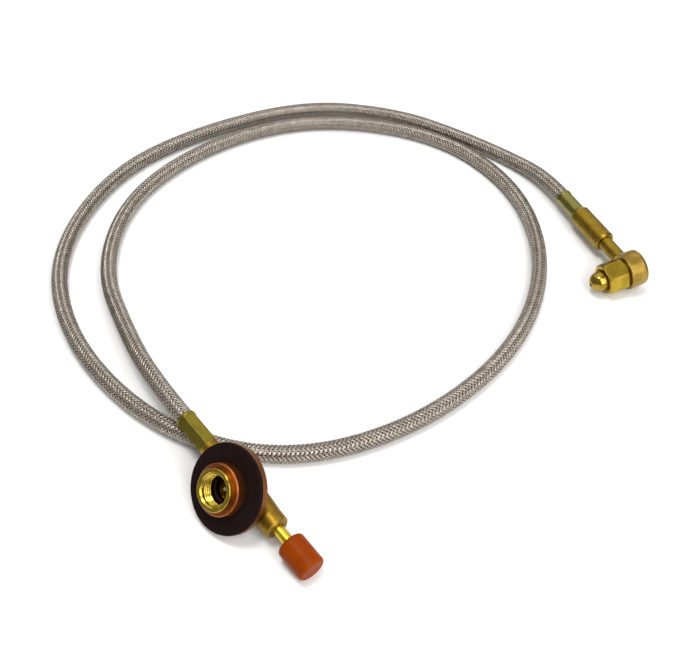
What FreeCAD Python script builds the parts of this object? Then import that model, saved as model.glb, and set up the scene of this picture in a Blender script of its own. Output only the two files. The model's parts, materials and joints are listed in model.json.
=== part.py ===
import FreeCAD, Part
import math
import os

from FreeCAD import Placement, Rotation, Vector

# A braided gas hose about 1.1 m long. One end carries a needle valve that screws onto a gas canister,
# the other a swivelling right-angled head with a union nut. Millimetres, +Z up, lying on a table at z = 0.
#
# The valve and the head are each drawn in a frame of their own, then placed:
#   valve frame  X along the barrel, from the hose to the knob; Z out of the canister socket
#   head frame   X along the outlet tube, from the hose to the head; Y along the head, away from its nose

# Where the two ends lie. Turns are heading, dip and roll in degrees.
VALVE_AT = Vector(-1.55, 1.4, 8.06)
VALVE_TURN = (-50.1, 4.2, 47.8)
HEAD_AT = Vector(158.8, 111.4, 8.72)
HEAD_TURN = (-69.4, -2.4, 8.0)

# Hose: the braid over the liner, and the bores of the two ferrules.
HOSE_R = 3.5
BRAID_IN_R = 3.05
LINER_R = 3.0
LINER_BORE_R = 2.2
# A bend may take this share of the shorter of the two runs that meet at its point.
BEND_SHARE = 0.45

# The hose leaves each ferrule straight for this far.
VALVE_LEAD = 21.0
HEAD_LEAD = 17.0
# The liner stops this far short of each nipple's shoulder.
LINER_SHORT = 0.1

# The route's free points, between the two straight leads, from the valve to the head.
ROUTE_BETWEEN = (
    (-53, 70, 9.2),
    (-75, 118, 3.6),
    (-70, 171, 3.5),
    (-32, 215, 3.5),
    (20, 234.6, 3.5),
    (81.5, 220, 3.5),
    (117.5, 178, 3.5),
    (125.2, 124, 3.5),
    (106, 70.5, 3.5),
    (62, 30, 3.5),
    (10, 14, 3.5),
    (-41, 32, 3.5),
    (-82, 77, 3.5),
    (-98, 129, 3.5),
    (-82, 187, 3.5),
    (-43, 222, 3.5),
    (12, 246, 3.5),
    (61, 238, 3.5),
    (94, 217.5, 3.5),
    (117.6, 198.7, 3.5),
)

# Valve, stations along X from the socket's axis.
FERRULE_START = -36.7
FERRULE_END = -20.8
NECK_R = 3.9
NECK_END = -12.0
BARREL_R = 4.2
SHOULDER_X = 4.5
SHOULDER_R = 5.6
BARREL_END = 16.4
BARREL_END_R = 4.7
# Small chamfers on turned brass edges, and on the seam between the barrel and its gland nut.
TURNED_EDGE = 0.2
SEAM_EDGE = 0.08
# Wider than any piece round the barrel.
CLEAR_R = 6.0
FERRULE_FLATS = 7.3
FERRULE_LIP = 1.2
FERRULE_LIP_R = 4.0
FERRULE_BODY_R = 4.25
FERRULE_END_R = 3.75
SHANK_R = 2.6
SHANK_LENGTH = 7.0
GAS_BORE_R = 1.3
BARB_R = 2.15
BARB_ROOT_R = 1.8

# Needle, its seat and its screw. The needle closes a small orifice in the barrel.
ORIFICE_R = 0.6
SEAT_X = 2.6
CHAMBER_R = 2.4
CHAMBER_END = 10.0
THREAD_R = 2.5
THREAD_BORE_R = 2.56
STEM_R = 2.05
STEM_BORE_R = 2.12
GLAND_IN = 14.6
GLAND_SPIGOT_R = 3.2
GLAND_R = 4.7
GLAND_END = 20.7
GLAND_CHAMFER = 0.7
GLAND_MOUTH_R = 2.4
PACKING_R = 2.7
PACKING_END = 16.2
RUNNING_GAP = 0.05

# The stem itself: the needle's point and root, the groove of its O-ring, and its screw.
NEEDLE_POINT = 2.0
NEEDLE_POINT_R = 0.25
NEEDLE_ROOT = 3.2
NEEDLE_ROOT_R = 0.85
WAIST = 5.0
WAIST_R = 0.95
PISTON_START = 6.2
PISTON_R = 1.9
STEM_RING_START = 7.0
STEM_RING_END = 8.0
STEM_RING_BORE_R = 1.35
SCREW_START = 10.3
SCREW_END = 13.2

# Knob.
KNOB_START = 27.2
KNOB_END = 39.9
KNOB_R = 5.2
KNOB_BORE_END = 36.9
KNOB_ROUND = 1.2

# Canister socket and flange, stations along Z from the barrel's axis.
HUB_R = 7.4
HUB_BOTTOM = -5.8
HUB_BOTTOM_R = 5.2
HUB_SIDE = -4.4
HUB_SIDE_R = 6.6
FLANGE_BACK = 6.0
FLANGE_FRONT = 8.5
FLANGE_R = 16.0
FLANGE_EDGE = 0.3
COLLAR_R = 9.2
COLLAR_TOP = 13.7
COLLAR_EDGE = 0.4
PAD_FRONT = 9.8
PAD_R = 15.9
PAD_EDGE = 0.3
SOCKET_R = 7.5
SOCKET_TOP = 15.8
SOCKET_FOOT = 2.6
SOCKET_FOOT_R = 6.2
SOCKET_FLOOR = 8.0
SOCKET_BORE_R = 5.56
SOCKET_MOUTH = 0.6
SEAL_POCKET_R = 6.0
SEAL_POCKET_TOP = 10.1
SEAL_RING_R = 5.22
SEAL_WIRE_R = 0.74
PORT_X = 3.4
PORT_R = 0.7
PIN_R = 0.9
PIN_FOOT = 5.2
PIN_TOP = 9.9
FILTER_R = 1.2
FILTER_BOTTOM = 7.2

# Outlet end, stations along X from the head's axis back to the hose.
OUT_FERRULE_START = -56.8
OUT_FERRULE_END = -42.6
OUT_FERRULE_R = 3.75
OUT_FERRULE_LIP_R = 4.0
SWIVEL_R = 4.8
SWIVEL_CHAMFER = 1.0
SWIVEL_END = -22.2
END_RING_END = -19.7
END_RING_IN = -24.2
END_RING_SHANK_R = 4.1
OUT_SHANK_END = -37.0
SPIGOT_END = -28.0
SPIGOT_BORE_R = 3.3
TUBE_R = 3.25
TUBE_BORE_R = 1.9
TUBE_START = -36.5
TUBE_END = -4.6
TUBE_COLLAR_R = 3.85
COLLAR_BORE_R = 3.95
GROOVE_X = -32.0
GROOVE_HALF = 0.6
GROOVE_R = 2.5
SWIVEL_RING_R = 2.9
SWIVEL_WIRE_R = 0.36

# Head, stations along Y from the tube's axis. The nose points the other way, to -Y.
HEAD_BACK = 5.0
HEAD_FRONT = -3.4
HEAD_R = 8.0
HEAD_ROUND = 1.8
HEAD_FRONT_ROUND = 0.45
HEAD_BORE_R = 1.6
NOSE_FOOT = 0.6
NOSE_NECK_R = 2.9
WASHER_FRONT = -4.0
WASHER_R = 6.1
NUT_BACK = -4.1
NUT_FRONT = -13.2
NUT_FLATS = 12.5
NUT_TURN = -20.0
NUT_NECK_BORE_R = 3.0
NUT_SHOULDER = -6.1
NUT_BORE_R = 5.0
NUT_R = 7.25
SLIP_START = -6.15
SLIP_END = -6.75
SLIP_R = 4.85
NOSE_COLLAR = -11.0
NOSE_CENTRE = -15.0
NOSE_R = 4.4
NOSE_BORE_R = 0.8


def turned(outline, axis):
    """A solid turned about the frame's X, Y or Z axis from a closed outline of (station, radius) points."""
    along = {"X": Vector(1, 0, 0), "Y": Vector(0, 1, 0), "Z": Vector(0, 0, 1)}[axis]
    out = {"X": Vector(0, 1, 0), "Y": Vector(0, 0, 1), "Z": Vector(1, 0, 0)}[axis]
    points = [along * station + out * radius for station, radius in outline]
    face = Part.Face(Part.makePolygon(points + points[:1]))
    return face.revolve(Vector(0, 0, 0), along, 360)


def rod(start, end, radius, axis):
    return turned([(start, 0), (start, radius), (end, radius), (end, 0)], axis)


def sleeve(start, end, bore, radius, axis):
    return turned([(start, bore), (start, radius), (end, radius), (end, bore)], axis)


def torus(station, ring, wire, axis):
    """An O-ring of this ring radius and wire radius about the axis."""
    along = {"X": Vector(1, 0, 0), "Y": Vector(0, 1, 0), "Z": Vector(0, 0, 1)}[axis]
    return Part.makeTorus(ring, wire, along * station, along)


def hexagon(start, end, flats, axis, turn=0.0):
    """A hexagonal bar along X or Y, this wide across its flats and turned by so many degrees."""
    corner = flats / 2 / math.cos(math.radians(30))
    points = []
    for i in range(6):
        angle = math.radians(60 * i + turn)
        across = corner * math.cos(angle)
        up = corner * math.sin(angle)
        points.append(Vector(start, across, up) if axis == "X" else Vector(across, start, up))
    face = Part.Face(Part.makePolygon(points + points[:1]))
    length = end - start
    return face.extrude(Vector(length, 0, 0) if axis == "X" else Vector(0, length, 0))


def rim_edges(shape, station, radius, axis):
    """The circular edges of this radius whose centre is at this station."""
    index = "XYZ".index(axis)
    found = []
    for edge in shape.Edges:
        if not isinstance(edge.Curve, Part.Circle):
            continue
        same = abs(edge.Curve.Radius - radius) < 1e-6
        if same and abs(edge.Curve.Center[index] - station) < 1e-6:
            found.append(edge)
    return found


def barbed_nipple(mouth, face, shank_end):
    """The hose nipple: barbs inside the liner, then a plain shank. It may run either way along X."""
    way = 1 if face > mouth else -1
    tip = mouth + 0.4 * way
    step = (face - tip) / 4
    outline = [(tip, GAS_BORE_R), (tip, BARB_ROOT_R)]
    for i in range(4):
        start = tip + i * step
        outline.append((start + 0.75 * step, BARB_R))
        outline.append((start + 0.8 * step, BARB_ROOT_R if i < 3 else BARB_R))
    outline += [(face, BARB_R), (face, SHANK_R), (shank_end, SHANK_R), (shank_end, GAS_BORE_R)]
    return turned(outline, "X")


def valve_body():
    """Barrel, tapering from the hub towards the knob, with the gas ways, the needle's seat and its thread."""
    barrel = turned(
        [
            (FERRULE_END, 0),
            (FERRULE_END, NECK_R),
            (NECK_END, NECK_R),
            (NECK_END + 0.8, BARREL_R),
            (0, BARREL_R),
            (SHOULDER_X, SHOULDER_R),
            (BARREL_END - SEAM_EDGE, BARREL_END_R),
            (BARREL_END, BARREL_END_R - SEAM_EDGE),
            (BARREL_END, 0),
        ],
        "X",
    )
    hub = turned(
        [
            (HUB_BOTTOM, 0),
            (HUB_BOTTOM, HUB_BOTTOM_R),
            (HUB_SIDE, HUB_SIDE_R),
            (0, HUB_R),
            (FLANGE_BACK, HUB_R),
            (FLANGE_BACK, 0),
        ],
        "Z",
    )
    ways = [
        rod(FERRULE_END, FERRULE_END + SHANK_LENGTH, SHANK_R, "X"),
        rod(FERRULE_END, -1, GAS_BORE_R, "X"),
        rod(-1, SEAT_X, ORIFICE_R, "X"),
        rod(SEAT_X, CHAMBER_END, CHAMBER_R, "X"),
        rod(CHAMBER_END, GLAND_IN, THREAD_BORE_R, "X"),
        rod(GLAND_IN, BARREL_END, GLAND_SPIGOT_R, "X"),
        rod(SOCKET_FOOT, FLANGE_BACK, SOCKET_FOOT_R, "Z"),
    ]
    port = rod(0, SOCKET_FOOT, PORT_R, "Z")
    port.translate(Vector(PORT_X, 0, 0))
    return barrel.fuse(hub).cut(ways + [port]).removeSplitter()


def support_flange():
    """Disc that steadies the valve on the canister's shoulder, with the collar round the socket."""
    return turned(
        [
            (FLANGE_BACK, SOCKET_R),
            (FLANGE_BACK, FLANGE_R - FLANGE_EDGE),
            (FLANGE_BACK + FLANGE_EDGE, FLANGE_R),
            (FLANGE_FRONT, FLANGE_R),
            (FLANGE_FRONT, COLLAR_R),
            (COLLAR_TOP - COLLAR_EDGE, COLLAR_R),
            (COLLAR_TOP, COLLAR_R - COLLAR_EDGE),
            (COLLAR_TOP, SOCKET_R),
        ],
        "Z",
    )


def rubber_pad():
    return turned(
        [
            (FLANGE_FRONT, COLLAR_R),
            (FLANGE_FRONT, PAD_R),
            (PAD_FRONT - PAD_EDGE, PAD_R),
            (PAD_FRONT, PAD_R - PAD_EDGE),
            (PAD_FRONT, COLLAR_R),
        ],
        "Z",
    )


def canister_socket():
    """Threaded bush. Its foot screws into the hub, and the seal lies in the pocket under the thread."""
    bush = turned(
        [
            (SOCKET_FOOT, 0),
            (SOCKET_FOOT, SOCKET_FOOT_R),
            (FLANGE_BACK, SOCKET_FOOT_R),
            (FLANGE_BACK, SOCKET_R),
            (SOCKET_TOP - TURNED_EDGE, SOCKET_R),
            (SOCKET_TOP, SOCKET_R - TURNED_EDGE),
            (SOCKET_TOP, SOCKET_BORE_R + SOCKET_MOUTH),
            (SOCKET_TOP - SOCKET_MOUTH, SOCKET_BORE_R),
            (SEAL_POCKET_TOP, SOCKET_BORE_R),
            (SEAL_POCKET_TOP, SEAL_POCKET_R),
            (SOCKET_FLOOR, SEAL_POCKET_R),
            (SOCKET_FLOOR, 0),
        ],
        "Z",
    )
    port = rod(SOCKET_FOOT, FILTER_BOTTOM, PORT_R, "Z")
    filter_seat = rod(FILTER_BOTTOM, SOCKET_FLOOR, FILTER_R, "Z")
    for hole in (port, filter_seat):
        hole.translate(Vector(PORT_X, 0, 0))
    return bush.cut([port, filter_seat, rod(PIN_FOOT, SOCKET_FLOOR, PIN_R, "Z")])


def valve_pin():
    """Fixed pin that pushes the canister's own valve open."""
    return turned(
        [(PIN_FOOT, 0), (PIN_FOOT, PIN_R), (PIN_TOP - 0.4, PIN_R), (PIN_TOP, 0.5), (PIN_TOP, 0)], "Z"
    )


def gas_filter():
    disc = rod(FILTER_BOTTOM, SOCKET_FLOOR, FILTER_R, "Z")
    disc.translate(Vector(PORT_X, 0, 0))
    return disc


def gland_nut():
    """Closes the barrel, holds the packing ring and stops the stem from unscrewing."""
    return turned(
        [
            (GLAND_IN, PACKING_R),
            (GLAND_IN, GLAND_SPIGOT_R),
            (BARREL_END, GLAND_SPIGOT_R),
            (BARREL_END, GLAND_R - SEAM_EDGE),
            (BARREL_END + SEAM_EDGE, GLAND_R),
            (GLAND_END - GLAND_CHAMFER, GLAND_R),
            (GLAND_END, GLAND_R - GLAND_CHAMFER),
            (GLAND_END, GLAND_MOUTH_R),
            (GLAND_END - GLAND_MOUTH_R + STEM_BORE_R, STEM_BORE_R),
            (PACKING_END, STEM_BORE_R),
            (PACKING_END, PACKING_R),
        ],
        "X",
    )


def stem_packing():
    return sleeve(GLAND_IN, PACKING_END, STEM_BORE_R, PACKING_R, "X")


def stem_o_ring():
    """Travels with the stem and seals it in the chamber, but doesn't turn."""
    return sleeve(STEM_RING_START, STEM_RING_END, STEM_RING_BORE_R, CHAMBER_R - RUNNING_GAP, "X")


def valve_stem():
    """Needle, groove for the O-ring, screw thread and shaft, in one turned piece."""
    return turned(
        [
            (NEEDLE_POINT, 0),
            (NEEDLE_POINT, NEEDLE_POINT_R),
            (NEEDLE_ROOT, NEEDLE_ROOT_R),
            (WAIST, WAIST_R),
            (PISTON_START, PISTON_R),
            (STEM_RING_START - RUNNING_GAP, PISTON_R),
            (STEM_RING_START - RUNNING_GAP, STEM_RING_BORE_R - RUNNING_GAP),
            (STEM_RING_END + RUNNING_GAP, STEM_RING_BORE_R - RUNNING_GAP),
            (STEM_RING_END + RUNNING_GAP, PISTON_R),
            (SCREW_START - 0.9, PISTON_R),
            (SCREW_START, THREAD_R),
            (SCREW_END, THREAD_R),
            (SCREW_END, STEM_R),
            (KNOB_BORE_END, STEM_R),
            (KNOB_BORE_END, 0),
        ],
        "X",
    )


def control_knob():
    knob = rod(KNOB_START, KNOB_END, KNOB_R, "X")
    edges = rim_edges(knob, KNOB_START, KNOB_R, "X") + rim_edges(knob, KNOB_END, KNOB_R, "X")
    knob = knob.makeFillet(KNOB_ROUND, edges)
    return knob.cut(rod(KNOB_START, KNOB_BORE_END, STEM_R, "X"))


def valve_ferrule():
    """Hexagonal crimp over the hose's end, left round at its lip."""
    bar = hexagon(FERRULE_START + FERRULE_LIP, FERRULE_END, FERRULE_FLATS, "X")
    form = turned(
        [
            (FERRULE_START, 0),
            (FERRULE_START, FERRULE_LIP_R - 0.3),
            (FERRULE_START + 0.4, FERRULE_LIP_R),
            (FERRULE_START + FERRULE_LIP, FERRULE_LIP_R),
            (FERRULE_START + FERRULE_LIP + 0.8, FERRULE_BODY_R),
            (FERRULE_END - 0.8, FERRULE_BODY_R),
            (FERRULE_END, FERRULE_END_R),
            (FERRULE_END, 0),
        ],
        "X",
    )
    lip = rod(FERRULE_START, FERRULE_START + FERRULE_LIP, CLEAR_R, "X")
    return form.common(bar.fuse(lip)).cut(rod(FERRULE_START, FERRULE_END, BRAID_IN_R, "X"))


def outlet_ferrule():
    """Round crimp over the hose's other end, with a lip at its mouth."""
    return turned(
        [
            (OUT_FERRULE_START, BRAID_IN_R),
            (OUT_FERRULE_START, OUT_FERRULE_LIP_R - 0.3),
            (OUT_FERRULE_START + 0.3, OUT_FERRULE_LIP_R),
            (OUT_FERRULE_START + 1.5, OUT_FERRULE_LIP_R),
            (OUT_FERRULE_START + 1.9, OUT_FERRULE_R),
            (OUT_FERRULE_END, OUT_FERRULE_R),
            (OUT_FERRULE_END, BRAID_IN_R),
        ],
        "X",
    )


def swivel_body():
    """Coupler that holds the nipple and in which the outlet tube turns."""
    return turned(
        [
            (OUT_FERRULE_END, SHANK_R),
            (OUT_FERRULE_END, SWIVEL_R - SWIVEL_CHAMFER),
            (OUT_FERRULE_END + SWIVEL_CHAMFER * 1.6, SWIVEL_R),
            (SWIVEL_END, SWIVEL_R),
            (SWIVEL_END, END_RING_SHANK_R),
            (END_RING_IN, END_RING_SHANK_R),
            (END_RING_IN, COLLAR_BORE_R),
            (SPIGOT_END, COLLAR_BORE_R),
            (SPIGOT_END, SPIGOT_BORE_R),
            (OUT_SHANK_END, SPIGOT_BORE_R),
            (OUT_SHANK_END, SHANK_R),
        ],
        "X",
    )


def swivel_end_ring():
    """Screwed into the coupler's end, it keeps the tube's collar in."""
    return turned(
        [
            (END_RING_IN, SPIGOT_BORE_R),
            (END_RING_IN, END_RING_SHANK_R),
            (SWIVEL_END, END_RING_SHANK_R),
            (SWIVEL_END, SWIVEL_R),
            (END_RING_END - 1.1, SWIVEL_R),
            (END_RING_END, SWIVEL_R - 0.8),
            (END_RING_END, SPIGOT_BORE_R),
        ],
        "X",
    )


def outlet_tube():
    return turned(
        [
            (TUBE_START, TUBE_BORE_R),
            (TUBE_START, TUBE_R),
            (GROOVE_X - GROOVE_HALF, TUBE_R),
            (GROOVE_X - GROOVE_HALF, GROOVE_R),
            (GROOVE_X + GROOVE_HALF, GROOVE_R),
            (GROOVE_X + GROOVE_HALF, TUBE_R),
            (SPIGOT_END + 0.2, TUBE_R),
            (SPIGOT_END + 0.2, TUBE_COLLAR_R),
            (END_RING_IN - 0.2, TUBE_COLLAR_R),
            (END_RING_IN - 0.2, TUBE_R),
            (TUBE_END, TUBE_R),
            (TUBE_END, TUBE_BORE_R),
        ],
        "X",
    )


def head_body():
    """Round cast body, with a side socket for the tube and a front socket for the nose."""
    body = rod(HEAD_FRONT, HEAD_BACK, HEAD_R, "Y")
    body = body.makeFillet(HEAD_ROUND, rim_edges(body, HEAD_BACK, HEAD_R, "Y"))
    body = body.makeFillet(HEAD_FRONT_ROUND, rim_edges(body, HEAD_FRONT, HEAD_R, "Y"))
    ways = [
        rod(-HEAD_R - 1, TUBE_END, TUBE_R, "X"),
        rod(TUBE_END, 0, HEAD_BORE_R, "X"),
        rod(NOSE_FOOT, 1.6, HEAD_BORE_R, "Y"),
        rod(HEAD_FRONT, NOSE_FOOT, NOSE_NECK_R, "Y"),
    ]
    return body.cut(ways)


def head_washer():
    return sleeve(HEAD_FRONT, WASHER_FRONT, NOSE_NECK_R, WASHER_R, "Y")


def outlet_nose():
    """Stem screwed into the head, with the domed nose that seals in the appliance's seat."""
    stem = turned(
        [
            (NOSE_FOOT, 0),
            (NOSE_FOOT, NOSE_NECK_R),
            (NOSE_COLLAR, NOSE_NECK_R),
            (NOSE_COLLAR, NOSE_R - 0.3),
            (NOSE_COLLAR - 0.3, NOSE_R),
            (NOSE_CENTRE, NOSE_R),
            (NOSE_CENTRE, 0),
        ],
        "Y",
    )
    dome = Part.makeSphere(NOSE_R, Vector(0, NOSE_CENTRE, 0), Vector(0, -1, 0), 0, 90, 360)
    side_way = rod(TUBE_END, 0, HEAD_BORE_R, "X")
    bore = rod(NOSE_FOOT, NOSE_CENTRE - NOSE_R - 1, NOSE_BORE_R, "Y")
    return stem.fuse(dome).removeSplitter().cut([bore, side_way])


def union_nut():
    """Hexagonal nut, loose on the nose's neck. It turns, and slides forward to the nose's collar."""
    form = turned(
        [
            (NUT_BACK, NUT_NECK_BORE_R),
            (NUT_BACK, NUT_R - 0.6),
            (NUT_BACK - 0.6, NUT_R),
            (NUT_FRONT + 0.9, NUT_R),
            (NUT_FRONT, NUT_R - 0.9),
            (NUT_FRONT, NUT_BORE_R + 0.3),
            (NUT_FRONT + 0.3, NUT_BORE_R),
            (NUT_SHOULDER, NUT_BORE_R),
            (NUT_SHOULDER, NUT_NECK_BORE_R),
        ],
        "Y",
    )
    return form.common(hexagon(NUT_BACK, NUT_FRONT, NUT_FLATS, "Y", NUT_TURN))


def slip_washer():
    """Thin ring between the nut's shoulder and the nose's collar, so that the nut turns freely on it."""
    return sleeve(SLIP_START, SLIP_END, NOSE_NECK_R + 0.1, SLIP_R, "Y")


def path_along(points, lead_in, lead_out):
    """A wire of straight runs and tangent arcs, drawn out by the leads, with its length and its radii."""
    edges = []
    radii = []
    length = 0.0
    at = points[0]
    first_way = (points[1] - points[0]).normalize()
    at = at - first_way * lead_in
    for before, corner, after in zip(points, points[1:], points[2:]):
        into = corner - before
        out = after - corner
        cut = BEND_SHARE * min(into.Length, out.Length)
        turn = into.getAngle(out)
        radius = cut / math.tan(turn / 2)
        into.normalize()
        out.normalize()
        start = corner - into * cut
        end = corner + out * cut
        inward = (out - into).normalize()
        middle = corner + inward * (radius / math.cos(turn / 2) - radius)
        edges.append(Part.LineSegment(at, start).toShape())
        edges.append(Part.Arc(start, middle, end).toShape())
        length += (start - at).Length + radius * turn
        radii.append(radius)
        at = end
    last = points[-1] + (points[-1] - points[-2]).normalize() * lead_out
    edges.append(Part.LineSegment(at, last).toShape())
    length += (last - at).Length
    return Part.Wire(edges), length, radii


def hose_tube(points, bore, radius, lead_in=0.0, lead_out=0.0):
    """A plain tube along the route, and its path's length and radii."""
    wire, length, radii = path_along(points, lead_in, lead_out)
    start = wire.Edges[0].valueAt(wire.Edges[0].FirstParameter)
    way = (points[1] - points[0]).normalize()
    disc, hole = [Part.Face(Part.Wire(Part.makeCircle(r, start, way))) for r in (radius, bore)]
    tube = wire.makePipe(disc.cut(hole).Faces[0])
    return tube, length, radii


def check_tube(name, tube, length, bore, radius):
    expected = math.pi * (radius**2 - bore**2) * length
    print(f"{name}: path {length:.1f} mm, volume {tube.Volume / expected:.4f} of section times length")


def main():
    os.makedirs("parts", exist_ok=True)
    valve_place = Placement(VALVE_AT, Rotation(*VALVE_TURN))
    head_place = Placement(HEAD_AT, Rotation(*HEAD_TURN))

    valve_nodes = {
        "valve_body": valve_body(),
        "support_flange": support_flange(),
        "rubber_pad": rubber_pad(),
        "canister_socket": canister_socket(),
        "socket_o_ring": torus(SOCKET_FLOOR + SEAL_WIRE_R, SEAL_RING_R, SEAL_WIRE_R, "Z"),
        "valve_pin": valve_pin(),
        "gas_filter": gas_filter(),
        "gland_nut": gland_nut(),
        "stem_packing": stem_packing(),
        "valve_stem": valve_stem(),
        "stem_o_ring": stem_o_ring(),
        "control_knob": control_knob(),
        "valve_hose_nipple": barbed_nipple(FERRULE_START, FERRULE_END, FERRULE_END + SHANK_LENGTH),
        "valve_ferrule": valve_ferrule(),
    }
    head_nodes = {
        "outlet_hose_nipple": barbed_nipple(OUT_FERRULE_START, OUT_FERRULE_END, OUT_SHANK_END),
        "outlet_ferrule": outlet_ferrule(),
        "swivel_body": swivel_body(),
        "swivel_end_ring": swivel_end_ring(),
        "swivel_o_ring": torus(GROOVE_X, SWIVEL_RING_R, SWIVEL_WIRE_R, "X"),
        "outlet_tube": outlet_tube(),
        "head_body": head_body(),
        "head_washer": head_washer(),
        "outlet_nose": outlet_nose(),
        "union_nut": union_nut(),
        "slip_washer": slip_washer(),
    }

    leaving = [valve_place.multVec(Vector(FERRULE_START - x, 0, 0)) for x in (0, VALVE_LEAD)]
    arriving = [head_place.multVec(Vector(OUT_FERRULE_START - x, 0, 0)) for x in (HEAD_LEAD, 0)]
    route = leaving + [Vector(*point) for point in ROUTE_BETWEEN] + arriving
    braid, length, radii = hose_tube(route, BRAID_IN_R, HOSE_R)
    check_tube("hose_braid", braid, length, BRAID_IN_R, HOSE_R)
    inside = FERRULE_END - FERRULE_START - LINER_SHORT
    inside_far = OUT_FERRULE_END - OUT_FERRULE_START - LINER_SHORT
    liner, liner_length, _ = hose_tube(route, LINER_BORE_R, LINER_R, inside, inside_far)
    check_tube("hose_liner", liner, liner_length, LINER_BORE_R, LINER_R)
    print("bend radii, mm:", " ".join(f"{radius:.0f}" for radius in radii))
    for point in leaving + arriving:
        print(f"lead at {point.x:.2f} {point.y:.2f} {point.z:.2f}")

    placed = {"hose_braid": braid, "hose_liner": liner}
    for place, nodes in ((valve_place, valve_nodes), (head_place, head_nodes)):
        for name, shape in nodes.items():
            shape.Placement = place.multiply(shape.Placement)
            placed[name] = shape
    for name, shape in placed.items():
        if not shape.isValid() or len(shape.Solids) != 1:
            print(f"{name}: valid {shape.isValid()}, solids {len(shape.Solids)}")
        shape.exportStep(f"parts/{name}.step")


main()
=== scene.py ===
import json
import math

import bpy
import numpy as np
from mathutils import Matrix, Vector


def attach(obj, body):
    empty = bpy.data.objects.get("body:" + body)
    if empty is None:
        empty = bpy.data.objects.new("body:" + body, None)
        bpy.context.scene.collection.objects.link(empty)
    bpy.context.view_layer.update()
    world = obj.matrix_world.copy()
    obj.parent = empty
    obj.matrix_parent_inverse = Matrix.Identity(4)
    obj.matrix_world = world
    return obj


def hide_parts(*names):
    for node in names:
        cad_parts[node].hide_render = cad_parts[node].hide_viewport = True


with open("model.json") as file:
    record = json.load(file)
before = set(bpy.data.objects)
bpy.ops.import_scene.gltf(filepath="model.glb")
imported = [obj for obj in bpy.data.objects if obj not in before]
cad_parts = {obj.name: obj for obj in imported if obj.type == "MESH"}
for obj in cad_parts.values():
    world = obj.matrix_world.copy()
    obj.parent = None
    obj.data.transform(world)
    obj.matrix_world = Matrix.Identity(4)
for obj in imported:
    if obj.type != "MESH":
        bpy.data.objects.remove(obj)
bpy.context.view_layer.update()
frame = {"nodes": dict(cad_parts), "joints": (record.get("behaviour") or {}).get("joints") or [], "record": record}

# A braided gas hose with a canister valve at one end and a right-angled union head at the other, lying on
# a pale floor. Metres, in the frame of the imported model; sizes are in millimetres and scaled by MM.
MM = 0.001

nodes = frame["nodes"]
joints = {joint["name"]: joint for joint in frame["joints"]}
mounts = {mount["name"]: mount for mount in frame["record"]["mounts"]}


def own_frame(origin, along, up):
    """The placement of a frame of its own: X along, Z nearest up."""
    x = Vector(along).normalized()
    y = Vector(up).cross(x).normalized()
    z = x.cross(y)
    place = Matrix((x, y, z)).transposed().to_4x4()
    place.translation = Vector(origin)
    return place


# The valve's frame has X along the barrel, from the hose to the knob, and Z out of the canister socket.
# The head's has X along the outlet tube, from the hose to the head, and Z up across the nose, which
# points to -Y.
knob_turn = joints["knob_turn"]
head_swivel = joints["head_swivel"]
valve = own_frame(knob_turn["pos_m"], knob_turn["axis"], mounts["canister_thread"]["axis"])
nose_way = Vector(joints["nut_spin"]["axis"])
tube_way = Vector(head_swivel["axis"])
head = own_frame(head_swivel["pos_m"], tube_way, tube_way.cross(-nose_way))

# Stations of the two ferrules' mouths, and of the free points next to them, in those frames, in mm.
VALVE_MOUTH = -36.7
VALVE_LEAD = -57.7
HEAD_LEAD = -73.8
HEAD_MOUTH = -56.8

CORE_R = 3.02 * MM

# The hose's free points in mm, from the valve to the head, as in the solid model, and how many points its
# smooth line has between each two of them.
ROUTE_STEPS = 64
ROUTE_BETWEEN = (
    (-53, 70, 9.2),
    (-75, 118, 3.6),
    (-70, 171, 3.5),
    (-32, 215, 3.5),
    (20, 234.6, 3.5),
    (81.5, 220, 3.5),
    (117.5, 178, 3.5),
    (125.2, 124, 3.5),
    (106, 70.5, 3.5),
    (62, 30, 3.5),
    (10, 14, 3.5),
    (-41, 32, 3.5),
    (-82, 77, 3.5),
    (-98, 129, 3.5),
    (-82, 187, 3.5),
    (-43, 222, 3.5),
    (12, 246, 3.5),
    (61, 238, 3.5),
    (94, 217.5, 3.5),
    (117.6, 198.7, 3.5),
)

# The valve's rubber pad in the valve's frame, in mm: its radii, its two faces, the radius of its rims and
# the depth of the hollow between them.
PAD_IN = 9.2
PAD_OUT = 15.9
PAD_BACK = 8.5
PAD_FRONT = 9.8
PAD_ROUND = 0.35
PAD_DIP = 0.06
PAD_DIP_SHARES = (0.2, 0.4, 0.6, 0.8)
PAD_RIM_STEPS = 6
PAD_TURN_STEPS = 192

# The threads of the valve's socket and of the union nut, in their frames, in mm: the two ends along the
# axis, the radii of wall and crest, and the pitch. The solid model has plain bores at the major radii.
SOCKET_THREAD = (10.2, 15.3)
SOCKET_THREAD_R = (5.6, 5.1)
SOCKET_PITCH = 0.907
NUT_THREAD = (-13.0, -6.3)
NUT_THREAD_R = (5.04, 4.48)
NUT_PITCH = 1.0
THREAD_TURN_STEPS = 48
THREAD_POINTS_ACROSS = 9
THREAD_RUN_OUT = math.pi / 3

# The braid: wire ribbons wound both ways, CARRIERS of them each way, each over two and under two of the
# others. A ribbon swings out and in about a middle radius, and is crowned across its width.
CARRIERS = 12
CROSSINGS_A_LEAD = 2 * CARRIERS
LEAD = 20.4 * MM
STEPS_A_LEAD = 38
BRAID_MID_R = 3.26 * MM
BRAID_SWING = 0.15 * MM
SWING_SHARPNESS = 2.2
PHASE_RIGHT = -0.5
PHASE_LEFT = 2.5
RIBBON_WIDTH = 1.06 * MM
RIBBON_CROWN = 0.11 * MM
RIBBON_DROP = 0.15 * MM
RIBBON_ACROSS = (-0.5, -0.3, 0.0, 0.3, 0.5)
RIBBON_UV_SHIFT = 0.37
WIRES = 4

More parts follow.
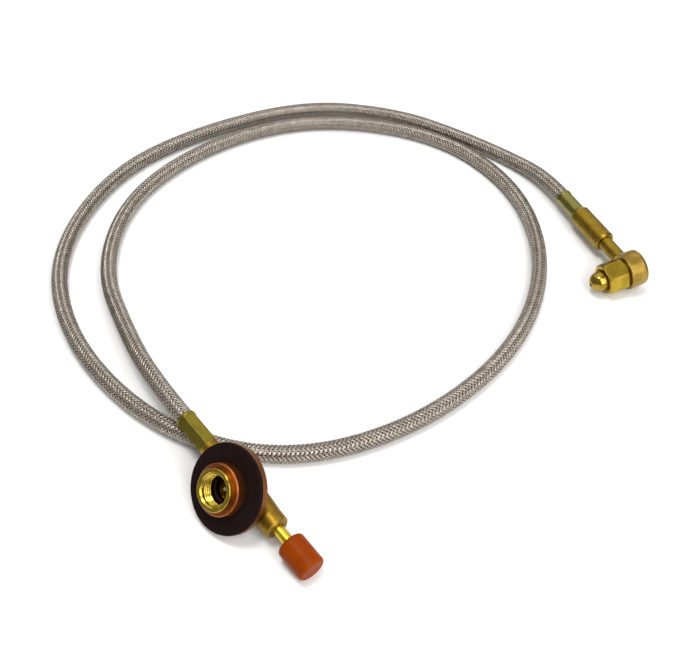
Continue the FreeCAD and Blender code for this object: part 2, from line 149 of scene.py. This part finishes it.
# The rubber hose under the braid, and how far both go on inside each ferrule.
CORE_STEP = 1.6 * MM
CORE_SIDES = 24
INSIDE_FERRULE = 1.2 * MM

# Camera: a little above and in front of the hose, looking down over the valve to the far loops.
CAMERA_AT = (36.3 * MM, -164.5 * MM, 272.6 * MM)
CAMERA_DIP = 47.5
CAMERA_LENS = 44.74
CAMERA_SENSOR = 36
CAMERA_CLIP = 0.01


def add_camera():
    data = bpy.data.cameras.new("camera")
    data.lens = CAMERA_LENS
    data.sensor_width = CAMERA_SENSOR
    data.clip_start = CAMERA_CLIP
    camera = bpy.data.objects.new("camera", data)
    camera.location = CAMERA_AT
    camera.rotation_euler = (math.radians(90 - CAMERA_DIP), 0, 0)
    bpy.context.scene.collection.objects.link(camera)
    bpy.context.scene.camera = camera


def hose_points():
    """The centreline of the hose as close points read from its NURBS spline."""
    near_end = [valve @ Vector((station * MM, 0, 0)) for station in (VALVE_MOUTH, VALVE_LEAD)]
    far_end = [head @ Vector((station * MM, 0, 0)) for station in (HEAD_LEAD, HEAD_MOUTH)]
    route = near_end + [Vector(point) * MM for point in ROUTE_BETWEEN] + far_end
    curve = bpy.data.curves.new("hose_line", "CURVE")
    curve.dimensions = "3D"
    curve.resolution_u = ROUTE_STEPS
    spline = curve.splines.new("NURBS")
    spline.points.add(len(route) - 1)
    for control, point in zip(spline.points, route):
        control.co = (*point, 1)
    spline.order_u = 3
    spline.use_endpoint_u = True
    holder = bpy.data.objects.new("hose_line", curve)
    line = bpy.data.meshes.new_from_object(holder)
    points = np.array([tuple(vertex.co) for vertex in line.vertices])
    bpy.data.objects.remove(holder)
    bpy.data.curves.remove(curve)
    bpy.data.meshes.remove(line)
    return points


class Line:
    """A centreline with a frame that doesn't twist, so that a wrapped pattern runs evenly along it."""

    def __init__(self, points):
        steps = np.linalg.norm(np.diff(points, axis=0), axis=1)
        self.at = np.concatenate(([0.0], np.cumsum(steps)))
        self.length = self.at[-1]
        self.points = points
        ways = np.gradient(points, self.at, axis=0)
        self.ways = ways / np.linalg.norm(ways, axis=1)[:, None]
        side = np.cross(self.ways[0], (0, 0, 1))
        sides = []
        for way in self.ways:
            side = side - way * np.dot(side, way)
            side = side / np.linalg.norm(side)
            sides.append(side)
        self.sides = np.array(sides)

    def look_up(self, values, s):
        inside = np.clip(s, 0, self.length)
        return np.stack([np.interp(inside, self.at, values[:, i]) for i in range(3)], axis=-1)

    def around(self, s, angle, radius):
        """Points at these distances along the line, angles round it and radii from it.

        Past an end the line runs straight.
        """
        centre = self.look_up(self.points, s)
        way = self.look_up(self.ways, s)
        side = self.look_up(self.sides, s)
        beyond = s - np.clip(s, 0, self.length)
        centre = centre + way * beyond[..., None]
        up = np.cross(side, way)
        way_out = side * np.cos(angle)[..., None] + up * np.sin(angle)[..., None]
        return centre + way_out * radius[..., None]


def mesh_object(name, points, faces, uvs=None):
    """A smooth-shaded mesh object of these points and faces, with a UV map if uvs gives one per point."""
    mesh = bpy.data.meshes.new(name)
    mesh.vertices.add(len(points))
    mesh.vertices.foreach_set("co", np.asarray(points, np.float32).ravel())
    faces = np.asarray(faces, np.int32)
    mesh.loops.add(faces.size)
    mesh.polygons.add(len(faces))
    mesh.loops.foreach_set("vertex_index", faces.ravel())
    starts = np.arange(0, faces.size, faces.shape[1], dtype=np.int32)
    mesh.polygons.foreach_set("loop_start", starts)
    mesh.polygons.foreach_set("use_smooth", np.ones(len(faces), bool))
    if uvs is not None:
        layer = mesh.uv_layers.new(name="weave")
        layer.data.foreach_set("uv", np.asarray(uvs, np.float32)[faces.ravel()].ravel())
    mesh.update(calc_edges=True)
    mesh.validate()
    piece = bpy.data.objects.new(name, mesh)
    bpy.context.scene.collection.objects.link(piece)
    return piece


def grid_faces(rows, columns, closed=False, looped=False, first=0):
    """Quads over a grid of points stored row by row.

    A closed grid joins its last column to its first, and a looped one its last row to its first.
    """
    row = np.arange(rows if looped else rows - 1)[:, None]
    next_row = (row + 1) % rows * columns
    row = row * columns
    column = np.arange(columns if closed else columns - 1)[None, :]
    after = (column + 1) % columns
    quads = np.stack([row + column, row + after, next_row + after, next_row + column], axis=-1)
    return quads.reshape(-1, 4) + first


def placed(place, points):
    """These points of a frame of its own, in the model's frame."""
    turn = np.array(place.to_3x3())
    return points @ turn.T + np.array(place.translation)


def add_braid(line, way):
    """The ribbons wound one way round the hose."""
    count = round(line.length / LEAD * STEPS_A_LEAD)
    s = np.linspace(-INSIDE_FERRULE, line.length + INSIDE_FERRULE, count)
    across = np.array(RIBBON_ACROSS)
    lift = RIBBON_CROWN - (RIBBON_CROWN + RIBBON_DROP) * np.abs(2 * across) ** 2
    slant = math.atan(2 * math.pi * BRAID_MID_R / LEAD)
    points = []
    faces = []
    uvs = []
    for i in range(CARRIERS):
        ring = CROSSINGS_A_LEAD * s / LEAD
        phase = ring + 2 * i + PHASE_RIGHT if way > 0 else ring - 2 * i + PHASE_LEFT
        wave = np.tanh(SWING_SHARPNESS * np.cos(math.pi / 2 * phase))
        middle = way * 2 * math.pi * s / LEAD + 2 * math.pi * i / CARRIERS
        spread = across * RIBBON_WIDTH / math.cos(slant) / BRAID_MID_R
        angle = middle[:, None] + spread[None, :]
        radius = (BRAID_MID_R + BRAID_SWING * wave)[:, None] + lift[None, :]
        grid = line.around(np.repeat(s[:, None], len(across), axis=1), angle, radius)
        quads = grid_faces(len(s), len(across), first=i * grid.size // 3)
        points.append(grid.reshape(-1, 3))
        faces.append(quads)
        u = np.broadcast_to(across + 0.5, angle.shape)
        v = np.broadcast_to((s / LEAD + i * RIBBON_UV_SHIFT)[:, None], angle.shape)
        uvs.append(np.stack([u, v], axis=-1).reshape(-1, 2))
    name = "braid_right" if way > 0 else "braid_left"
    return mesh_object(name, np.concatenate(points), np.concatenate(faces), np.concatenate(uvs))


def add_core(line):
    """The dark rubber hose under the braid."""
    count = round(line.length / CORE_STEP)
    s = np.linspace(-INSIDE_FERRULE, line.length + INSIDE_FERRULE, count)
    angles = np.linspace(0, 2 * math.pi, CORE_SIDES, endpoint=False)
    grid_s = np.repeat(s[:, None], len(angles), axis=1)
    grid_angle = np.broadcast_to(angles, grid_s.shape)
    points = line.around(grid_s, grid_angle, np.full(grid_s.shape, CORE_R))
    return mesh_object("hose_core", points.reshape(-1, 3), grid_faces(len(s), len(angles), closed=True))


def add_pad():
    """The rubber pad: a flat ring with rounded rims and a faint hollow between them."""
    corners = (
        (PAD_IN + PAD_ROUND, PAD_FRONT - PAD_ROUND, math.pi),
        (PAD_OUT - PAD_ROUND, PAD_FRONT - PAD_ROUND, math.pi / 2),
    )
    outline = [(PAD_IN, PAD_BACK)]
    for radius, station, start in corners:
        for step in range(PAD_RIM_STEPS + 1):
            angle = start - step * math.pi / 2 / PAD_RIM_STEPS
            outline.append((radius + PAD_ROUND * math.cos(angle), station + PAD_ROUND * math.sin(angle)))
        if start == math.pi:
            span = PAD_OUT - PAD_IN - 2 * PAD_ROUND
            for share in PAD_DIP_SHARES:
                dip = PAD_DIP * math.sin(math.pi * share)
                outline.append((radius + span * share, PAD_FRONT - dip))
    outline.append((PAD_OUT, PAD_BACK))
    outline = np.array(outline) * MM
    angles = np.linspace(0, 2 * math.pi, PAD_TURN_STEPS, endpoint=False)[:, None]
    grid = np.stack(
        [
            outline[None, :, 0] * np.cos(angles),
            outline[None, :, 0] * np.sin(angles),
            np.broadcast_to(outline[None, :, 1], (len(angles), len(outline))),
        ],
        axis=-1,
    )
    points = placed(valve, grid.reshape(-1, 3))
    return mesh_object("pad_ring", points, grid_faces(*grid.shape[:2], closed=True, looped=True))


def add_thread(name, place, axis, ends, radii, pitch):
    """A helical ridge on a bore's wall, about this axis of its frame, in mm.

    Its two ends run out into the wall.
    """
    wall, crest = radii
    across = np.linspace(0.5, -0.5, THREAD_POINTS_ACROSS)
    section = np.stack([across, np.cos(math.pi * across) ** 2], axis=1)
    turns = (ends[1] - ends[0]) / pitch - 1
    angle = np.linspace(0, 2 * math.pi * turns, round(turns * THREAD_TURN_STEPS))[:, None]
    run_out = np.clip(np.minimum(angle, angle[::-1]) / THREAD_RUN_OUT, 0, 1)
    radius = wall + (crest - wall) * section[None, :, 1] * run_out
    station = ends[0] + pitch * (0.5 + angle / (2 * math.pi) + section[None, :, 0])
    side = radius * np.cos(angle)
    up = radius * np.sin(angle)
    grid = np.stack([side, up, station] if axis == "Z" else [up, station, side], axis=-1)
    points = placed(place, grid.reshape(-1, 3) * MM)
    return mesh_object(name, points, grid_faces(*grid.shape[:2], closed=True))


add_camera()
hose = Line(hose_points())
core = add_core(hose)
braids = [add_braid(hose, 1), add_braid(hose, -1)]
for piece in [core] + braids:
    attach(piece, "valve")
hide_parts("hose_liner")
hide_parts("hose_braid")

pad = add_pad()
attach(pad, "valve")
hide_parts("rubber_pad")
socket_thread = add_thread(
    "socket_thread", valve, "Z", SOCKET_THREAD, SOCKET_THREAD_R, SOCKET_PITCH,
)
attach(socket_thread, "valve")
nut_thread = add_thread("nut_thread", head, "Y", NUT_THREAD, NUT_THREAD_R, NUT_PITCH)
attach(nut_thread, "nut")


# The noise in the materials: its scales in cycles a metre, the spans of its values that are used, how far
# it changes the roughness, and the depth and strength of its bumps.
PATCH_SCALE = 260
FINE_SCALE = 5200
MARK_SCALE = 6500
PIT_SCALE = 1900
NOISE_SPAN = (0.3, 0.7)
PATCH_SPAN = (0.35, 0.68)
FINE_ROUGHNESS = (-0.05, 0.09)
MARK_ROUGHNESS = (-0.04, 0.06)
MARK_DEPTH = 0.012 * MM
MARK_STRENGTH = 0.5
PIT_STRENGTH = 0.9
FINE_DEPTH = 0.004 * MM
FINE_STRENGTH = 0.4

# Worn edges of metal: how wide they are, the spread of normals that counts as an edge, and how much of the
# worn tone they have. A tone changes to the darker painted-shade one over TONE_STEP each side of the point given.
EDGE_ROUND = 0.25 * MM
EDGE_SPAN = (0.985, 0.86)
BEVEL_SAMPLES = 6
WORN_SHARE = 0.65
TONE_STEP = 0.1 * MM

# The braid's wires: their two tones, and the painted shade in the grooves between them and at a ribbon's edges.
# Rougher than the renderer's limit for mirror-like metal, so that its noise filter keeps the weave.
WIRE_DEEP = (0.33, 0.285, 0.24)
WIRE_LIGHT = (0.55, 0.487, 0.42)
WIRE_GROOVE_SHADE = (0.10, 0.085, 0.07)
RIBBON_EDGE_SHADE = (0.03, 0.025, 0.02)
WIRE_PATCH_SCALE = 420
WIRE_FINE_SCALE = 3600
WIRE_ROUGHNESS = (0.29, 0.35)
WIRE_DEPTH = 0.05 * MM
GROOVE_SHADE_SPAN = (0.0, 0.5)
RIBBON_EDGE_SHADE_SPAN = (0.26, 0.48)

# The knob's paint: its two tones, the tone at its worn edges, and its grain.
KNOB_DEEP = (0.222, 0.034, 0.0006)
KNOB_LIGHT = (0.26, 0.041, 0.0009)
KNOB_WORN = (0.42, 0.085, 0.008)
KNOB_EDGE_ROUND = 0.4 * MM
KNOB_WORN_SHARE = 0.4
KNOB_PATCH_SCALE = 180
KNOB_PATCH_SPAN = (0.35, 0.65)
KNOB_FINE_SCALE = 2600
KNOB_ROUGHNESS = (0.3, 0.42)
KNOB_FINE_DEPTH = 0.015 * MM
KNOB_FINE_STRENGTH = 0.5

# Rubber: how much lighter its patches are, their scale, how far its grain changes the roughness, and the
# grain's strength.
RUBBER_LIGHTER = 1.5
RUBBER_LIFT = 0.001
RUBBER_PATCH_SCALE = 500
RUBBER_ROUGHNESS = (-0.08, 0.1)
RUBBER_STRENGTH = 0.8


class Material:
    """A Principled material and short calls that add nodes to it."""

    def __init__(self, name, **plain):
        self.data = bpy.data.materials.new(name)
        self.data.use_nodes = True
        self.tree = self.data.node_tree
        self.shader = self.tree.nodes["Principled BSDF"]
        for key, value in plain.items():
            self.shader.inputs[key.replace("_", " ")].default_value = value
        self.place = self.node("ShaderNodeTexCoord").outputs["Object"]

    def node(self, kind, **settings):
        made = self.tree.nodes.new(kind)
        for key, value in settings.items():
            setattr(made, key, value)
        return made

    def feed(self, socket, value):
        if isinstance(value, bpy.types.NodeSocket):
            self.tree.links.new(value, socket)
        else:
            socket.default_value = value

    def math(self, operation, *values):
        made = self.node("ShaderNodeMath", operation=operation)
        for socket, value in zip(made.inputs, values):
            self.feed(socket, value)
        return made.outputs[0]

    def noise(self, scale, detail=3.0, roughness=0.55):
        made = self.node("ShaderNodeTexNoise")
        self.feed(made.inputs["Vector"], self.place)
        made.inputs["Scale"].default_value = scale
        made.inputs["Detail"].default_value = detail
        made.inputs["Roughness"].default_value = roughness
        return made.outputs["Fac"]

    def along(self, axis):
        """How far each point lies along this axis."""
        dot = self.node("ShaderNodeVectorMath", operation="DOT_PRODUCT")
        self.feed(dot.inputs[0], self.place)
        dot.inputs[1].default_value = tuple(axis)
        return dot.outputs["Value"]

    def lines_along(self, axis, scale, detail):
        """Noise that changes along this axis only, as turning marks do."""
        made = self.node("ShaderNodeTexNoise", noise_dimensions="1D")
        self.feed(made.inputs["W"], self.along(axis))
        made.inputs["Scale"].default_value = scale
        made.inputs["Detail"].default_value = detail
        return made.outputs["Fac"]

    def ranged(self, value, low, high, to_low=0.0, to_high=1.0):
        """This value with low to high stretched over to_low to to_high, and held within them."""
        made = self.node("ShaderNodeMapRange")
        for socket, given in zip(made.inputs, (value, low, high, to_low, to_high)):
            self.feed(socket, given)
        return made.outputs[0]

    def mix(self, share, a, b):
        """Colour a, with this share of colour b."""
        made = self.node("ShaderNodeMix", data_type="RGBA")
        self.feed(made.inputs["Factor"], share)
        for socket, colour in ((made.inputs[6], a), (made.inputs[7], b)):
            self.feed(socket, colour if isinstance(colour, bpy.types.NodeSocket) else (*colour, 1))
        return made.outputs[2]

    def bump(self, height, depth, strength, under=None):
        made = self.node("ShaderNodeBump")
        made.inputs["Strength"].default_value = strength
        made.inputs["Distance"].default_value = depth
        self.feed(made.inputs["Height"], height)
        if under is not None:
            self.feed(made.inputs["Normal"], under)
        return made.outputs["Normal"]

    def rounded(self, radius):
        """The normal as it is with edges rounded off, and how near each point is to an edge, 0 to 1."""
        bevel = self.node("ShaderNodeBevel", samples=BEVEL_SAMPLES)
        bevel.inputs["Radius"].default_value = radius
        plain = self.node("ShaderNodeNewGeometry").outputs["Normal"]
        dot = self.node("ShaderNodeVectorMath", operation="DOT_PRODUCT")
        self.feed(dot.inputs[0], bevel.outputs["Normal"])
        self.feed(dot.inputs[1], plain)
        return bevel.outputs["Normal"], self.ranged(dot.outputs["Value"], *EDGE_SPAN)

    def set(self, name, value):
        self.feed(self.shader.inputs[name], value)


def metal(name, colour, deep, worn, roughness, axis=None, grain=0.0, shade_below=None, shade_tone=None):
    """Turned or cast metal: patchy tone, fine grain, turning marks round an axis and edges rubbed bright.

    Below the point given, along the axis, it has the given darker tone instead, a painted shade. A grain is how
    deep the pits of a casting are.
    """
    made = Material(name, Metallic=1.0)
    normal, near_edge = made.rounded(EDGE_ROUND)
    patches = made.ranged(made.noise(PATCH_SCALE, 4.0, 0.6), *PATCH_SPAN)
    fine = made.noise(FINE_SCALE, 2.0, 0.5)
    tone = made.mix(patches, deep, colour)
    tone = made.mix(made.math("MULTIPLY", near_edge, WORN_SHARE), tone, worn)
    if shade_below is not None:
        # Painted shade: below this station along the axis the tone is darker.
        station = Vector(shade_below).dot(axis)
        above = made.ranged(made.along(axis), station - TONE_STEP, station + TONE_STEP)
        tone = made.mix(above, shade_tone, tone)
    made.set("Base Color", tone)
    rough = made.ranged(fine, *NOISE_SPAN, *(roughness + change for change in FINE_ROUGHNESS))
    if axis is not None:
        marks = made.lines_along(axis, MARK_SCALE, 3.0)
        rough = made.math("ADD", rough, made.ranged(marks, *NOISE_SPAN, *MARK_ROUGHNESS))
        normal = made.bump(marks, MARK_DEPTH, MARK_STRENGTH, normal)
    if grain:
        pits = made.noise(PIT_SCALE, 4.0, 0.65)
        normal = made.bump(pits, grain, PIT_STRENGTH, normal)
    normal = made.bump(fine, FINE_DEPTH, FINE_STRENGTH, normal)
    made.set("Roughness", rough)
    made.set("Normal", normal)
    return made.data


def braid_steel():
    """Stainless wires lying side by side in each ribbon, with painted shade in the grooves between wires and at
    each ribbon's edges.
    """
    made = Material("braid_steel", Metallic=1.0)
    uv = made.node("ShaderNodeUVMap", uv_map="weave").outputs["UV"]
    split = made.node("ShaderNodeSeparateXYZ")
    made.feed(split.inputs[0], uv)
    wire = made.math("FRACT", made.math("MULTIPLY", split.outputs[0], float(WIRES)))
    off = made.math("SUBTRACT", made.math("MULTIPLY", wire, 2.0), 1.0)
    crown = made.math("SUBTRACT", 1.0, made.math("MULTIPLY", off, off))
    from_middle = made.math("ABSOLUTE", made.math("SUBTRACT", split.outputs[0], 0.5))
    patches = made.ranged(made.noise(WIRE_PATCH_SCALE), *NOISE_SPAN)
    fine = made.noise(WIRE_FINE_SCALE, 2.0)
    tone = made.mix(patches, WIRE_DEEP, WIRE_LIGHT)
    # Painted shade: darker down in the grooves between wires and at the ribbon's edges.
    tone = made.mix(made.ranged(crown, *GROOVE_SHADE_SPAN), WIRE_GROOVE_SHADE, tone)
    tone = made.mix(made.ranged(from_middle, *RIBBON_EDGE_SHADE_SPAN), tone, RIBBON_EDGE_SHADE)
    made.set("Base Color", tone)
    made.set("Roughness", made.ranged(fine, *NOISE_SPAN, *WIRE_ROUGHNESS))
    made.set("Normal", made.bump(crown, WIRE_DEPTH, 1.0))
    return made.data


def rubber(name, colour, roughness, grain=2400, depth=0.02 * MM):
    """Matt rubber or plastic with faint patches, and a grain of this scale and depth."""
    made = Material(name, Specular_IOR_Level=0.1)
    patches = made.ranged(made.noise(RUBBER_PATCH_SCALE), *NOISE_SPAN)
    lighter = tuple(channel * RUBBER_LIGHTER + RUBBER_LIFT for channel in colour)
    made.set("Base Color", made.mix(patches, colour, lighter))
    fine = made.noise(grain)
    rough = made.ranged(fine, *NOISE_SPAN, *(roughness + change for change in RUBBER_ROUGHNESS))
    made.set("Roughness", rough)
    made.set("Normal", made.bump(fine, depth, RUBBER_STRENGTH))
    return made.data


def knob_paint():
    """Satin orange finish, a little lighter and worn at its rounded ends."""
    made = Material("knob_orange", Specular_IOR_Level=0.05)
    normal, near_edge = made.rounded(KNOB_EDGE_ROUND)
    patches = made.ranged(made.noise(KNOB_PATCH_SCALE), *KNOB_PATCH_SPAN)
    tone = made.mix(patches, KNOB_DEEP, KNOB_LIGHT)
    tone = made.mix(made.math("MULTIPLY", near_edge, KNOB_WORN_SHARE), tone, KNOB_WORN)
    made.set("Base Color", tone)
    fine = made.noise(KNOB_FINE_SCALE)
    made.set("Roughness", made.ranged(fine, *NOISE_SPAN, *KNOB_ROUGHNESS))
    made.set("Normal", made.bump(fine, KNOB_FINE_DEPTH, KNOB_FINE_STRENGTH, normal))
    return made.data


def paint(material, *names):
    for name in names:
        slots = nodes[name].data.materials
        slots.clear()
        slots.append(material)


valve_x = valve.col[0].xyz
valve_z = valve.col[2].xyz
head_x = head.col[0].xyz

# Each metal: its tone, its deeper tone, the tone of its worn edges, its roughness and its turning axis.
BRASS_WORN = (0.66, 0.50, 0.12)
CAST_GRAIN = 0.09 * MM

barrel_brass = metal(
    "barrel_brass", (0.33, 0.205, 0.025), (0.23, 0.13, 0.014), BRASS_WORN, 0.4, valve_x,
)
crimp_brass = metal(
    "crimp_brass", (0.26, 0.205, 0.03), (0.17, 0.135, 0.018), BRASS_WORN, 0.34, valve_x,
)
# The socket's brass is painted darker deep in its bore, below the thread: painted shade in the recess.
socket_brass = metal(
    "socket_brass", (0.56, 0.40, 0.058), (0.39, 0.27, 0.037), BRASS_WORN, 0.2, valve_z,
    shade_below=valve @ Vector((0, 0, SOCKET_THREAD[0] * MM)), shade_tone=(0.10, 0.062, 0.014),
)
ferrule_brass = metal(
    "ferrule_brass", (0.30, 0.28, 0.075), (0.20, 0.18, 0.045), (0.75, 0.72, 0.45), 0.26, head_x,
)
line_brass = metal(
    "line_brass", (0.33, 0.22, 0.024), (0.23, 0.14, 0.014), BRASS_WORN, 0.34, head_x,
)
nut_brass = metal(
    "nut_brass", (0.50, 0.35, 0.038), (0.34, 0.22, 0.022), BRASS_WORN, 0.26, nose_way,
)
nose_brass = metal(
    "nose_brass", (0.42, 0.30, 0.05), (0.30, 0.205, 0.03), BRASS_WORN, 0.16, nose_way,
)
cast_brass = metal(
    "cast_brass", (0.42, 0.285, 0.06), (0.265, 0.17, 0.031), (0.80, 0.62, 0.2), 0.32,
    grain=CAST_GRAIN,
)
# The socket's thread: the socket's brass painted much lighter, a painted highlight on the bore's inner wall.
thread_brass_painted_highlight = metal(
    "thread_brass_painted_highlight", (0.88, 0.67, 0.11), (0.66, 0.48, 0.07), (0.95, 0.78, 0.25), 0.2, valve_z,
)
# The copper is painted darker below the pad's back face: painted shade under the pad.
copper = metal(
    "copper_finish", (0.36, 0.11, 0.032), (0.24, 0.07, 0.019), (0.52, 0.20, 0.07), 0.4, valve_z,
    shade_below=valve @ Vector((0, 0, PAD_BACK * MM)), shade_tone=(0.20, 0.075, 0.022),
)
bright_steel = metal(
    "bright_steel", (0.62, 0.60, 0.56), (0.48, 0.46, 0.42), (0.85, 0.84, 0.82), 0.25, valve_x,
)
stem_brass = metal(
    "stem_brass", (0.80, 0.58, 0.06), (0.60, 0.43, 0.038), BRASS_WORN, 0.34, valve_x,
)
pad_black = rubber("pad_black", (0.007, 0.0025, 0.002), 0.8, 1500, 0.05 * MM)
seal_black = rubber("seal_black", (0.014, 0.005, 0.004), 0.5)
core_black = rubber("core_black", (0.006, 0.006, 0.006), 0.6)
white_plastic = rubber("white_plastic", (0.62, 0.60, 0.56), 0.5)

paint(barrel_brass, "valve_body", "gland_nut", "valve_hose_nipple")
paint(crimp_brass, "valve_ferrule")
paint(socket_brass, "canister_socket", "gas_filter")
paint(ferrule_brass, "outlet_ferrule")
paint(line_brass, "head_washer", "outlet_hose_nipple", "swivel_body", "swivel_end_ring", "outlet_tube")
paint(nut_brass, "union_nut")
paint(nose_brass, "outlet_nose")
paint(cast_brass, "head_body")
paint(copper, "support_flange")
paint(bright_steel, "valve_pin")
paint(stem_brass, "valve_stem")
paint(seal_black, "socket_o_ring", "stem_packing", "stem_o_ring", "swivel_o_ring")
paint(white_plastic, "slip_washer")
paint(knob_paint(), "control_knob")
steel = braid_steel()
for braid in braids:
    braid.data.materials.append(steel)
core.data.materials.append(core_black)
pad.data.materials.append(pad_black)
socket_thread.data.materials.append(thread_brass_painted_highlight)
nut_thread.data.materials.append(nut_brass)


# The stage: a pale floor just under the model, a dim world, and lights given by name, place, the point
# that they face, size and power in watts.
FLOOR_HALF = 1.5
FLOOR_DROP = 0.02 * MM
FLOOR_DEEP = (0.90, 0.90, 0.895)
FLOOR_LIGHT = (0.93, 0.93, 0.925)
FLOOR_PATCH_SCALE = 3
FLOOR_ROUGHNESS = 0.9
WORLD_TONE = (1.0, 0.98, 0.95, 1)
WORLD_STRENGTH = 0.27
LIGHTS = (
    ("key", (0.45, -0.50, 0.60), (0.05, 0.05, 0), (0.5, 1.1), 8.0),
    ("back", (0.1, 0.9, 0.9), (0.03, 0.1, 0), (2.4, 1.2), 8.0),
    ("top", (-0.1, 0.1, 1.0), (0.03, 0.1, 0), (0.3, 0.3), 4.5),
)


def add_floor():
    half = FLOOR_HALF
    corners = [(-half, -half, 0), (half, -half, 0), (half, half, 0), (-half, half, 0)]
    floor = mesh_object("floor", corners, [(0, 1, 2, 3)])
    floor.location = (0, 0, -FLOOR_DROP)
    made = Material("floor_paper", Roughness=FLOOR_ROUGHNESS)
    patches = made.noise(FLOOR_PATCH_SCALE, 2.0)
    made.set("Base Color", made.mix(patches, FLOOR_DEEP, FLOOR_LIGHT))
    floor.data.materials.append(made.data)


def add_light(name, place, aim, size, power):
    data = bpy.data.lights.new(name, "AREA")
    data.shape = "RECTANGLE"
    data.size = size[0]
    data.size_y = size[1]
    data.energy = power
    light = bpy.data.objects.new(name, data)
    light.location = place
    way = Vector(aim) - Vector(place)
    light.rotation_euler = way.to_track_quat("-Z", "Y").to_euler()
    light.visible_camera = False
    bpy.context.scene.collection.objects.link(light)


def add_lighting():
    world = bpy.data.worlds.new("studio")
    world.use_nodes = True
    background = world.node_tree.nodes["Background"]
    background.inputs["Color"].default_value = WORLD_TONE
    background.inputs["Strength"].default_value = WORLD_STRENGTH
    bpy.context.scene.world = world
    for light in LIGHTS:
        add_light(*light)


add_floor()
add_lighting()
bpy.context.scene.view_settings.view_transform = "Standard"
